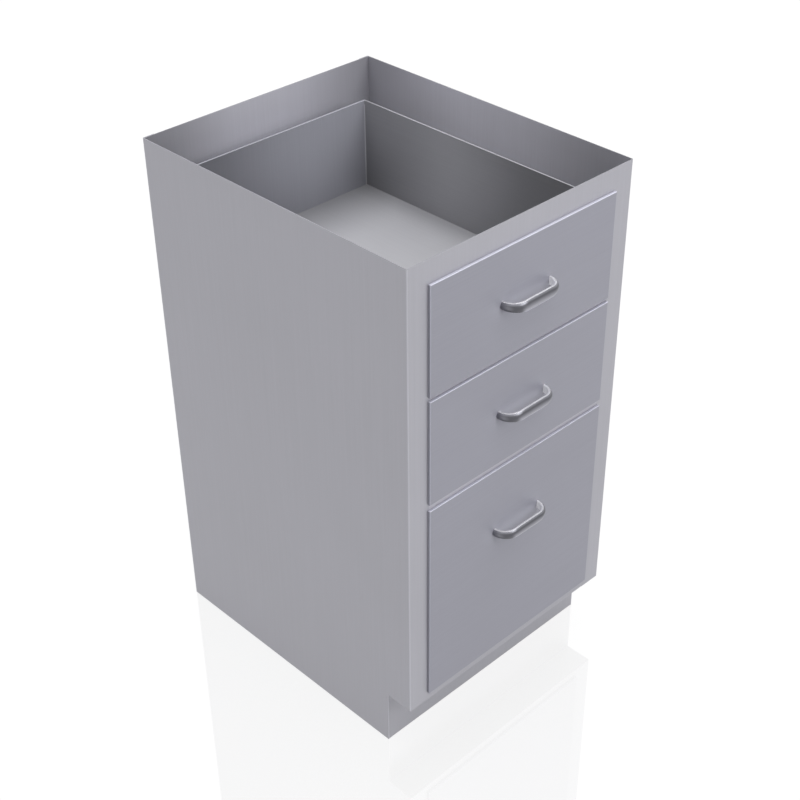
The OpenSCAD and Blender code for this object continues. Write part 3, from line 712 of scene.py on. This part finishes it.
def make_pull(drawer):
    name = f"{drawer}_pull"
    low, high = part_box(name)
    height, reach, end_x = high.z - low.z, high.y - low.y, high.x
    level = (low.z + high.z) / 2
    half = end_x - reach
    apex = PULL_FOOT / 2 + (height - PULL_FOOT) / 2 * end_x / (reach + PULL_TAPER_RUN)
    outline = pull_outline(reach - PULL_RIM - PULL_CROWN, height)
    turn, straight = PULL_TURN_STEPS, PULL_STRAIGHT_STEPS
    stations = [(-1, 90.0 - 90.0 * k / turn) for k in range(turn)]
    stations += [(-1 + 2 * k / straight, 0.0) for k in range(straight + 1)]
    stations += [(1, 90.0 * k / turn) for k in range(1, turn + 1)]
    bm = bmesh.new()
    rings = []
    for place, angle in stations:
        side = -1 if place < 0 else 1
        section = []
        for radius, z in outline:
            x = place * half + side * radius * math.sin(math.radians(angle))
            y = high.y - radius * math.cos(math.radians(angle))
            limit = apex + (PULL_FOOT / 2 - apex) * abs(x) / end_x
            section.append(bm.verts.new((x, y, level + z * min(1.0, limit / (height / 2)))))
        rings.append(section)
    layer = wear_and_light_layer(bm)
    crown_start = outline[PULL_CROWN_START].x
    reaches = [min(here.x, after.x) for here, after in zip(outline, outline[1:] + outline[:1])]
    # Faces outside the crown are marked for the pull's painted reflection
    for first, second in zip(rings, rings[1:]):
        for face, nearest in zip(join_rings(bm, first, second), reaches):
            mark(face, layer, 0.0 if nearest >= crown_start - 1e-6 else 1.0)
    bm.faces.new(rings[0][::-1])
    bm.faces.new(rings[-1])
    bmesh.ops.recalc_face_normals(bm, faces=bm.faces[:])
    formed(name, bm)


# ---- Pan-headed screws with a cross recess
SCREW_R, SCREW_HEAD_R, SCREW_HEAD_H = 0.002, 0.004, 0.0026
SCREW_PITCH, SCREW_GROOVE = 0.0008, 0.0003
RECESS_REACH, RECESS_HALF_W, RECESS_DEPTH = 0.0021, 0.00045, 0.0013
RECESS_TAPER, RECESS_ARM_TAPER = 0.75, 0.8
SCREW_TURN = 32
# Shares of the head's radius and height along its dome
SCREW_DOME = [(1.0, 0.0), (1.0, 0.42), (0.97, 0.6), (0.9, 0.77), (0.8, 0.89), (0.68, 0.97), (0.6, 1.0)]
# Shares of the pitch and of the groove's depth along one turn of the thread
SCREW_THREAD = [(0.25, 0.0), (0.5, 1.0), (0.75, 1.0), (1.0, 0.0)]


def ring(bm, centre, radius, y):
    around = [2 * math.pi * k / SCREW_TURN for k in range(SCREW_TURN)]
    points = [(centre.x + radius * math.cos(a), y, centre.z + radius * math.sin(a)) for a in around]
    return [bm.verts.new(point) for point in points]


def cross_outline(reach, half):
    points = []
    for quarter in range(4):
        for u, v in ((reach, -half), (reach, half), (half, half)):
            for _ in range(quarter):
                u, v = -v, u
            points.append((u, v))
    return points


def cross_ring(bm, centre, y, reach, half):
    return [bm.verts.new((centre.x + u, y, centre.z + v)) for u, v in cross_outline(reach, half)]


# The head looks to +y from under, its shank runs to -y and ends at tip
def screw(bm, centre, under, tip):
    top = under + SCREW_HEAD_H
    rings = [ring(bm, centre, SCREW_HEAD_R * r, under + SCREW_HEAD_H * h) for r, h in SCREW_DOME]
    for first, second in zip(rings, rings[1:]):
        join_rings(bm, first, second)
    crest = set(rings[-1])
    edges = [edge for edge in bm.edges if edge.verts[0] in crest and edge.verts[1] in crest]
    upper = cross_ring(bm, centre, top, RECESS_REACH, RECESS_HALF_W)
    lower = cross_ring(
        bm, centre, top - RECESS_DEPTH, RECESS_REACH * RECESS_TAPER, RECESS_HALF_W * RECESS_ARM_TAPER
    )
    edges += [bm.edges.new((here, after)) for here, after in zip(upper, upper[1:] + upper[:1])]
    bmesh.ops.triangle_fill(bm, use_beauty=True, use_dissolve=False, edges=edges)
    join_rings(bm, upper, lower)
    bm.faces.new(lower)
    shank = [ring(bm, centre, SCREW_R, under)]
    join_rings(bm, rings[0], shank[0])
    turns = int((under - tip) / SCREW_PITCH)
    for k in range(turns):
        for share, depth in SCREW_THREAD:
            y = under - (under - tip) * (k + share) / turns
            shank.append(ring(bm, centre, SCREW_R - SCREW_GROOVE * depth, y))
    for first, second in zip(shank, shank[1:]):
        join_rings(bm, first, second)
    bm.faces.new(shank[-1])


def make_pull_screws(drawer):
    name = f"{drawer}_pull_screws"
    low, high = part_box(name)
    bm = bmesh.new()
    for x in (low.x + SCREW_HEAD_R, high.x - SCREW_HEAD_R):
        screw(bm, Vector((x, 0.0, (low.z + high.z) / 2)), high.y - SCREW_HEAD_H, low.y)
    bmesh.ops.recalc_face_normals(bm, faces=bm.faces[:])
    formed(name, bm)


# ---- Welds in the back corners of the drawer boxes
WELD_R, WELD_STEP, WELD_TURNS = 0.0012, 0.0016, 6
# How much the bead swells along each step, and how far it ends below the rim
WELD_SWELL = (0.0, 0.18, 0.1)
WELD_END = 0.0075


def weld_corners(drawer):
    low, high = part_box(f"{drawer}_drawer_box")
    corner_x, corner_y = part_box(f"{drawer}_drawer_back")[1].x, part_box(f"{drawer}_drawer_back")[0].y
    bottom, top = low.z + THIN, high.z - WELD_END
    count = round((top - bottom) / WELD_STEP) * len(WELD_SWELL)
    bm = bmesh.new()
    layer = wear_and_light_layer(bm)
    for side in (-1, 1):
        rings = []
        for i in range(count + 1):
            z = bottom + (top - bottom) * i / count
            radius = WELD_R * (1.0 + WELD_SWELL[i % len(WELD_SWELL)])
            section = []
            for k in range(WELD_TURNS + 1):
                angle = math.pi / 2 * k / WELD_TURNS
                x = side * (corner_x - radius * math.cos(angle))
                section.append(bm.verts.new((x, corner_y - radius * math.sin(angle), z)))
            rings.append(section)
        # The beads are painted brighter: rubbed, with a painted highlight
        for first, second in zip(rings, rings[1:]):
            for k in range(WELD_TURNS):
                face = bm.faces.new((first[k], first[k + 1], second[k + 1], second[k]))
                mark(face, layer, WELD_WEAR_AND_HIGHLIGHT)
    bmesh.ops.recalc_face_normals(bm, faces=bm.faces[:])
    put(f"{drawer}_corner_welds", bm, f"{drawer}_drawer", BOX_STEEL[drawer])


# ---- Edges of the nodes that keep their own mesh
def ease_kept_nodes():
    for name, kept in frame["nodes"].items():
        if kept.hide_render or "balls" in name:
            continue
        weld = kept.modifiers.new("weld", "WELD")
        weld.merge_threshold = SAME
        easing = kept.modifiers.new("easing", "BEVEL")
        easing.width = KEPT_EASED
        easing.segments = EASE_STEPS
        easing.limit_method = "ANGLE"
        easing.angle_limit = math.radians(40)
        easing.harden_normals = True


form_sides()
form_frame()
for drawer in DRAWERS:
    form_drawer(drawer)
    make_pull(drawer)
    make_pull_screws(drawer)
    weld_corners(drawer)
ease_kept_nodes()


# ---- Floor, world and lamps
WHITE = (1, 1, 1, 1)
# Half size of the floor, and how far it lies under the part
FLOOR_REACH, FLOOR_DROP = 40.0, 0.0005
# Shares of the mirror and of the shaded white in the floor as it is seen, and its tone as it lights the part
REFLECTED, SHADOWED = 0.13, 0.04
FLOOR_ALBEDO = 0.30
# Light of the sky all around, and the light that it gains overhead, narrowed by focus
SKY, SKY_TOP, SKY_FOCUS = 0.05, 4.86, 4.0
# Place, target, size and power of each lamp
LAMPS = {
    "top_lamp": ((0.0, 0.0, 4.0), (0, 0, 0.5), 2.5, 38.0),
    "front_lamp": ((0.5, -3.5, 2.6), (0, 0, 0.5), 2.0, 48.0),
    "high_front_lamp": ((0.2, -2.4, 4.2), (0, 0, 0.6), 1.2, 4.0),
}


def coloured(tree, kind, colour):
    made = node(tree, kind)
    made.inputs["Color"].default_value = colour
    return made


def make_floor():
    mesh = bpy.data.meshes.new("studio_floor")
    corners = [(u * FLOOR_REACH, v * FLOOR_REACH, 0) for u, v in ((-1, -1), (1, -1), (1, 1), (-1, 1))]
    mesh.from_pydata(corners, [], [(0, 1, 2, 3)])
    floor = bpy.data.objects.new("studio_floor", mesh)
    floor.location.z = -FLOOR_DROP
    bpy.context.scene.collection.objects.link(floor)
    material = bpy.data.materials.new("studio_floor")
    tree = new_tree(material)
    pale = coloured(tree, "ShaderNodeEmission", WHITE)
    matte = coloured(tree, "ShaderNodeBsdfDiffuse", (0.8, 0.8, 0.8, 1))
    mirror = coloured(tree, "ShaderNodeBsdfGlossy", WHITE)
    mirror.inputs["Roughness"].default_value = 0.02
    shaded = blend_shaders(tree, SHADOWED, pale, matte)
    glossy = blend_shaders(tree, REFLECTED, shaded, mirror)
    plain = coloured(tree, "ShaderNodeBsdfDiffuse", (FLOOR_ALBEDO,) * 3 + (1,))
    both = blend_shaders(tree, seen_ray(tree), plain, glossy)
    tree.links.new(both.outputs[0], node(tree, "ShaderNodeOutputMaterial").inputs["Surface"])
    mesh.materials.append(material)


def make_world():
    world = bpy.data.worlds.new("studio")
    bpy.context.scene.world = world
    tree = new_tree(world)
    white = coloured(tree, "ShaderNodeBackground", WHITE)
    white.inputs["Strength"].default_value = 1.0
    overhead = math_node(tree, "MAXIMUM", axes(tree, "Generated")[Z], 0.0)
    overhead = times(tree, math_node(tree, "POWER", overhead, SKY_FOCUS), SKY_TOP)
    sky = coloured(tree, "ShaderNodeBackground", WHITE)
    tree.links.new(plus(tree, overhead, SKY), sky.inputs["Strength"])
    both = blend_shaders(tree, seen_ray(tree), sky, white)
    tree.links.new(both.outputs[0], node(tree, "ShaderNodeOutputWorld").inputs["Surface"])


def area_lamp(name, place, target, size, power):
    data = bpy.data.lights.new(name, "AREA")
    data.shape = "DISK"
    data.size = size
    data.energy = power
    lamp = bpy.data.objects.new(name, data)
    lamp.location = place
    lamp.rotation_euler = (Vector(target) - Vector(place)).to_track_quat("-Z", "Y").to_euler()
    bpy.context.scene.collection.objects.link(lamp)


make_camera()
make_floor()
make_world()
for name, (place, target, size, power) in LAMPS.items():
    area_lamp(name, place, target, size, power)

bpy.context.scene.view_settings.view_transform = "Standard"
